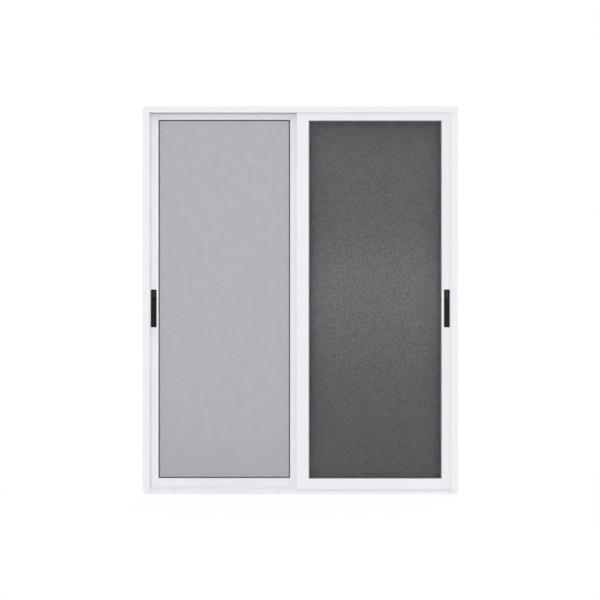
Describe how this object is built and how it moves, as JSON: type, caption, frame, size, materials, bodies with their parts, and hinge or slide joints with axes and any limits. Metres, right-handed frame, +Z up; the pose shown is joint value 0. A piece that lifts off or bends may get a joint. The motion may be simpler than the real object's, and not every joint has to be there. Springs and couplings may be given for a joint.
{
  "type": "glass sliding patio door",
  "caption": "White-framed sliding patio door: a double-glazed sash slides behind a fixed glazed panel, with a dark insect screen sash in front.",
  "frame": {"origin": "middle of the sill's underside, where the door stands on its threshold", "axes": "+X across the door to the right as seen from outside, +Y inwards through the wall, +Z up"},
  "size_m": [1.65, 0.128, 2.03],
  "materials": {
    "white_coat": "white powder coat, satin",
    "clear_glass": "clear, smooth",
    "warm_edge": "grey satin",
    "gasket": "dark grey, matt",
    "black_metal": "black powder coat, satin",
    "latch_metal": "brushed",
    "wheel_plastic": "natural nylon",
    "guide_plastic": "light grey nylon",
    "stop_rubber": "light grey, matt",
    "brush": "grey wool pile",
    "screen_cloth": "charcoal mesh",
    "spline_rubber": "grey, matt"
  },
  "bodies": {
    "frame": {"sill": "white_coat", "head": "white_coat", "left_jamb": "white_coat", "right_jamb": "white_coat", "keepers": "latch_metal", "jamb_bumpers": "stop_rubber", "travel_stop": "stop_rubber", "fixed_meeting_stile": "white_coat", "fixed_jamb_stile": "white_coat", "fixed_top_rail": "white_coat", "fixed_bottom_rail": "white_coat", "fixed_pane_front": "clear_glass", "fixed_pane_rear": "clear_glass", "fixed_spacer": "warm_edge", "fixed_gaskets": "gasket"},
    "glass_sash": {"glass_lock_stile": "white_coat", "glass_meeting_stile": "white_coat", "glass_top_rail": "white_coat", "glass_bottom_rail": "white_coat", "glass_pull_front": "black_metal", "glass_pull_rear": "black_metal", "glass_thumb_slides": "black_metal", "glass_latch": "latch_metal", "glass_carriages": "guide_plastic", "glass_wheels": "wheel_plastic", "glass_top_guides": "guide_plastic", "glass_brushes": "brush", "glass_pane_front": "clear_glass", "glass_pane_rear": "clear_glass", "glass_spacer": "warm_edge", "glass_gaskets": "gasket"},
    "screen_sash": {"screen_lock_stile": "white_coat", "screen_meeting_stile": "white_coat", "screen_top_rail": "white_coat", "screen_bottom_rail": "white_coat", "screen_pull_front": "black_metal", "screen_pull_rear": "black_metal", "screen_thumb_slides": "black_metal", "screen_latch": "latch_metal", "screen_carriages": "guide_plastic", "screen_wheels": "wheel_plastic", "screen_top_guides": "guide_plastic", "screen_brushes": "brush", "screen_mesh": "screen_cloth", "screen_spline": "spline_rubber"}
  },
  "joints": [
    {"name": "glass_sash_slide", "type": "slide", "parent": "frame", "child": "glass_sash", "axis": [1, 0, 0], "range_m": [0, 0.7245]},
    {"name": "screen_sash_slide", "type": "slide", "parent": "frame", "child": "screen_sash", "axis": [-1, 0, 0], "range_m": [0, 0.783]}
  ]
}
